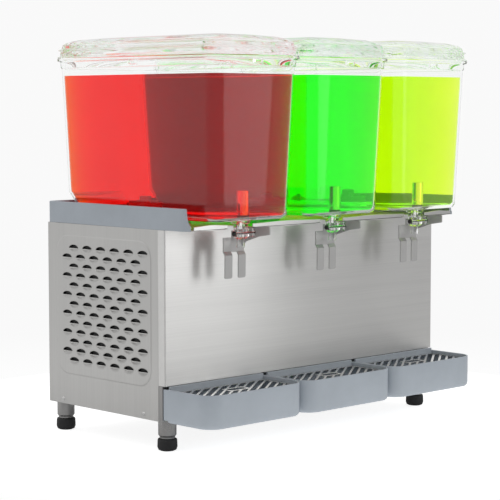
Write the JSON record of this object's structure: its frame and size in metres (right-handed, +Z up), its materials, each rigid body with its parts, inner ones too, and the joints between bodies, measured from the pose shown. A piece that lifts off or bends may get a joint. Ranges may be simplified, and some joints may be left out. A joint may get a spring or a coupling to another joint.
{
  "type": "refrigerated drinks dispenser",
  "caption": "Countertop cold drinks dispenser: clear lidded bowls on a louvred steel base, each with a push lever tap above its own drip tray.",
  "frame": {"origin": "on the floor below the middle of the machine's bounding box", "axes": "+Z up, -Y towards the taps and drip trays, +X to the right seen from the front"},
  "size_m": [0.622, 0.3888, 0.632],
  "materials": {
    "panel_steel": "horizontal brushed grain, satin",
    "deck_steel": "smooth, semi-bright",
    "grid_steel": "polished sheet",
    "lever_steel": "fine bead blasted",
    "bright_steel": "polished",
    "leg_steel": "turned, satin",
    "grey_plastic": "fine moulded texture",
    "clear_plastic": "clear, glossy",
    "gasket_silicone": "matt",
    "foot_rubber": "matt",
    "white_plastic": "moulded",
    "black_plastic": "moulded",
    "black_enamel": "gloss enamel",
    "aluminium": "plain fins"
  },
  "bodies": {
    "base": {"base_pan": "panel_steel", "front_panel": "panel_steel", "left_side_panel": "panel_steel", "right_side_panel": "panel_steel", "rear_panel": "panel_steel", "top_deck": "deck_steel", "deck_surround": "grey_plastic", "leg_front_left": "leg_steel", "foot_front_left": "foot_rubber", "leg_front_right": "leg_steel", "foot_front_right": "foot_rubber", "leg_rear_left": "leg_steel", "foot_rear_left": "foot_rubber", "leg_rear_right": "leg_steel", "foot_rear_right": "foot_rubber", "compressor": "black_enamel", "condenser": "aluminium", "fan_motor": "black_enamel", "power_inlet": "black_plastic", "cooling_dome_left": "bright_steel", "bowl_gasket_left": "gasket_silicone", "agitator_motor_left": "black_enamel", "cooling_dome_centre": "bright_steel", "bowl_gasket_centre": "gasket_silicone", "agitator_motor_centre": "black_enamel", "cooling_dome_right": "bright_steel", "bowl_gasket_right": "gasket_silicone", "agitator_motor_right": "black_enamel"},
    "bowl_left": {"bowl_left": "clear_plastic", "valve_body_left": "clear_plastic", "pivot_pin_left": "black_plastic"},
    "lid_left": {"lid_left": "clear_plastic"},
    "agitator_left": {"agitator_left": "white_plastic"},
    "piston_left": {"piston_left": "bright_steel", "piston_seal_left": "foot_rubber"},
    "lever_left": {"lever_left": "lever_steel"},
    "tray_left": {"drip_tray_left": "grey_plastic"},
    "grid_left": {"drip_grid_left": "grid_steel"},
    "bowl_centre": {"bowl_centre": "clear_plastic", "valve_body_centre": "clear_plastic", "pivot_pin_centre": "black_plastic"},
    "lid_centre": {"lid_centre": "clear_plastic"},
    "agitator_centre": {"agitator_centre": "white_plastic"},
    "piston_centre": {"piston_centre": "bright_steel", "piston_seal_centre": "foot_rubber"},
    "lever_centre": {"lever_centre": "lever_steel"},
    "tray_centre": {"drip_tray_centre": "grey_plastic"},
    "grid_centre": {"drip_grid_centre": "grid_steel"},
    "bowl_right": {"bowl_right": "clear_plastic", "valve_body_right": "clear_plastic", "pivot_pin_right": "black_plastic"},
    "lid_right": {"lid_right": "clear_plastic"},
    "agitator_right": {"agitator_right": "white_plastic"},
    "piston_right": {"piston_right": "bright_steel", "piston_seal_right": "foot_rubber"},
    "lever_right": {"lever_right": "lever_steel"},
    "tray_right": {"drip_tray_right": "grey_plastic"},
    "grid_right": {"drip_grid_right": "grid_steel"},
    "fan": {"fan_blade": "black_plastic"},
    "rocker": {"power_switch": "black_plastic"}
  },
  "joints": [
    {"name": "bowl_left_lift", "type": "slide", "parent": "base", "child": "bowl_left", "axis": [0, 0, 1], "range_m": [0, 0.09]},
    {"name": "lid_left_lift", "type": "slide", "parent": "bowl_left", "child": "lid_left", "axis": [0, 0, 1], "range_m": [0, 0.06]},
    {"name": "agitator_left_spin", "type": "hinge", "parent": "base", "child": "agitator_left", "pos_m": [-0.203, 0.055, 0.366], "axis": [0, 0, 1], "continuous": true},
    {"name": "lever_left_push", "type": "hinge", "parent": "bowl_left", "child": "lever_left", "pos_m": [-0.203, -0.157, 0.332], "axis": [1, 0, 0], "range_deg": [0, 20], "stiffness_Nm_per_rad": 0.3, "springref_deg": -11.46},
    {"name": "piston_left_rise", "type": "slide", "parent": "bowl_left", "child": "piston_left", "axis": [0, 0, 1], "range_m": [0, 0.0048]},
    {"name": "tray_left_lift_off", "type": "slide", "parent": "base", "child": "tray_left", "axis": [0, -0.7071, 0.7071], "range_m": [0, 0.15]},
    {"name": "grid_left_lift", "type": "slide", "parent": "tray_left", "child": "grid_left", "axis": [0, 0, 1], "range_m": [0, 0.05]},
    {"name": "bowl_centre_lift", "type": "slide", "parent": "base", "child": "bowl_centre", "axis": [0, 0, 1], "range_m": [0, 0.09]},
    {"name": "lid_centre_lift", "type": "slide", "parent": "bowl_centre", "child": "lid_centre", "axis": [0, 0, 1], "range_m": [0, 0.06]},
    {"name": "agitator_centre_spin", "type": "hinge", "parent": "base", "child": "agitator_centre", "pos_m": [0, 0.055, 0.366], "axis": [0, 0, 1], "continuous": true},
    {"name": "lever_centre_push", "type": "hinge", "parent": "bowl_centre", "child": "lever_centre", "pos_m": [0, -0.157, 0.332], "axis": [1, 0, 0], "range_deg": [0, 20], "stiffness_Nm_per_rad": 0.3, "springref_deg": -11.46},
    {"name": "piston_centre_rise", "type": "slide", "parent": "bowl_centre", "child": "piston_centre", "axis": [0, 0, 1], "range_m": [0, 0.0048]},
    {"name": "tray_centre_lift_off", "type": "slide", "parent": "base", "child": "tray_centre", "axis": [0, -0.7071, 0.7071], "range_m": [0, 0.15]},
    {"name": "grid_centre_lift", "type": "slide", "parent": "tray_centre", "child": "grid_centre", "axis": [0, 0, 1], "range_m": [0, 0.05]},
    {"name": "bowl_right_lift", "type": "slide", "parent": "base", "child": "bowl_right", "axis": [0, 0, 1], "range_m": [0, 0.09]},
    {"name": "lid_right_lift", "type": "slide", "parent": "bowl_right", "child": "lid_right", "axis": [0, 0, 1], "range_m": [0, 0.06]},
    {"name": "agitator_right_spin", "type": "hinge", "parent": "base", "child": "agitator_right", "pos_m": [0.203, 0.055, 0.366], "axis": [0, 0, 1], "continuous": true},
    {"name": "lever_right_push", "type": "hinge", "parent": "bowl_right", "child": "lever_right", "pos_m": [0.203, -0.157, 0.332], "axis": [1, 0, 0], "range_deg": [0, 20], "stiffness_Nm_per_rad": 0.3, "springref_deg": -11.46},
    {"name": "piston_right_rise", "type": "slide", "parent": "bowl_right", "child": "piston_right", "axis": [0, 0, 1], "range_m": [0, 0.0048]},
    {"name": "tray_right_lift_off", "type": "slide", "parent": "base", "child": "tray_right", "axis": [0, -0.7071, 0.7071], "range_m": [0, 0.15]},
    {"name": "grid_right_lift", "type": "slide", "parent": "tray_right", "child": "grid_right", "axis": [0, 0, 1], "range_m": [0, 0.05]},
    {"name": "fan_spin", "type": "hinge", "parent": "base", "child": "fan", "pos_m": [0.243, 0.055, 0.145], "axis": [1, 0, 0], "continuous": true},
    {"name": "power_rocker", "type": "hinge", "parent": "base", "child": "rocker", "pos_m": [0.245, 0.184, 0.1225], "axis": [1, 0, 0], "range_deg": [-14, 0]}
  ],
  "couplings": [
    {"joint": "piston_left_rise", "follows": "lever_left_push", "m_per_rad": 0.01375},
    {"joint": "piston_centre_rise", "follows": "lever_centre_push", "m_per_rad": 0.01375},
    {"joint": "piston_right_rise", "follows": "lever_right_push", "m_per_rad": 0.01375}
  ]
}
